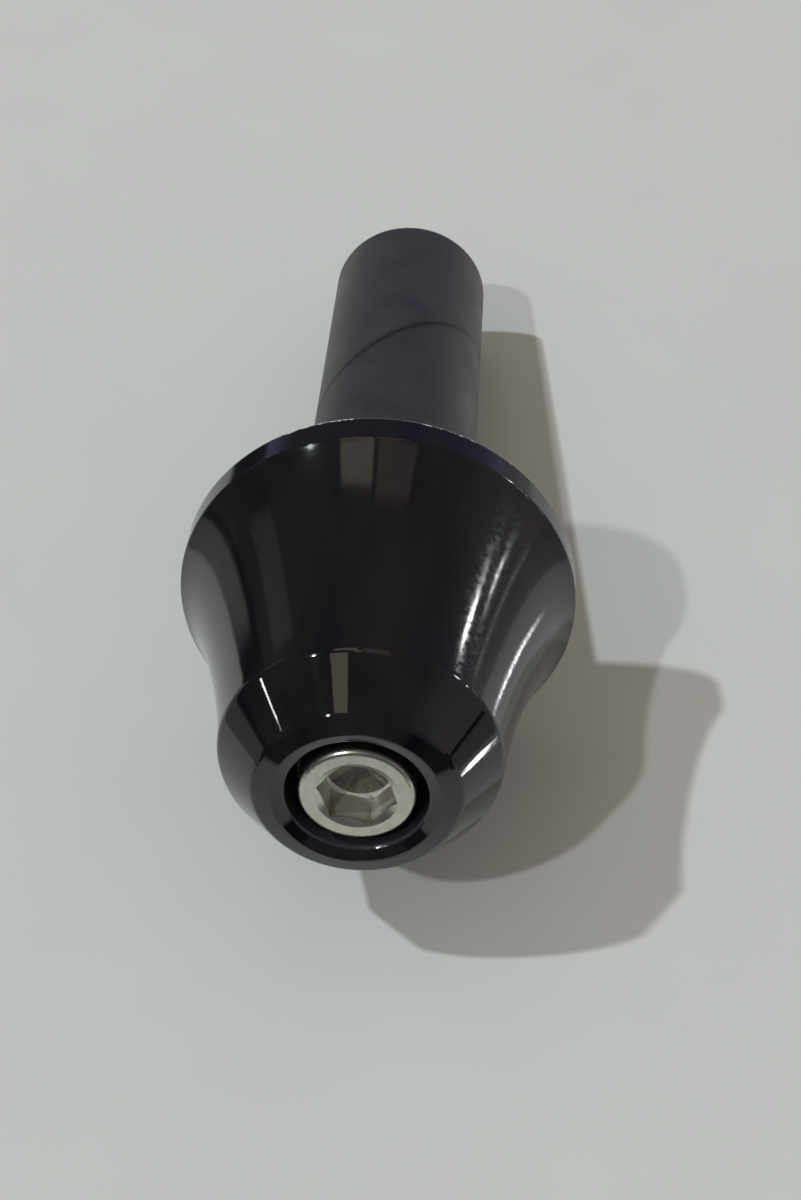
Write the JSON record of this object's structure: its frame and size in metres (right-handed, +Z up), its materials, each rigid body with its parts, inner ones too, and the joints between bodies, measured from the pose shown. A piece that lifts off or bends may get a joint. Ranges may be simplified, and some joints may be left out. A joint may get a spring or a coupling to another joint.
{
  "type": "bar end weight",
  "caption": "Flared gloss black handlebar end weight with a slant-cut expander sleeve that a long socket head bolt draws wider to grip the bar.",
  "frame": {"origin": "on the axis, in the plane of the weight's back face, where the bar's end stops", "axes": "+Y along the axis from the nose to the sleeve, +Z up, +X to the right seen from the nose"},
  "size_m": [0.037, 0.0856, 0.037],
  "materials": {
    "black_coat": "gloss black coat over turned steel",
    "stainless_steel": "turned, polished stainless steel",
    "blackened_steel": "satin black oxide on turned steel"
  },
  "bodies": {
    "weight": {"weight": "black_coat", "fixed_wedge": "blackened_steel"},
    "bolt": {"clamp_bolt": "stainless_steel"},
    "wedge": {"sliding_wedge": "blackened_steel"}
  },
  "joints": [
    {"name": "bolt_turn", "type": "hinge", "parent": "weight", "child": "bolt", "pos_m": [0, 0, 0], "axis": [0, 1, 0], "range_deg": [0, 180]},
    {"name": "wedge_slide", "type": "slide", "parent": "weight", "child": "wedge", "axis": [-0.766, -0.6428, 0], "range_m": [0, 0.000777]}
  ],
  "couplings": [
    {"joint": "bolt_turn", "follows": "wedge_slide", "rad_per_m": 4038.8}
  ]
}
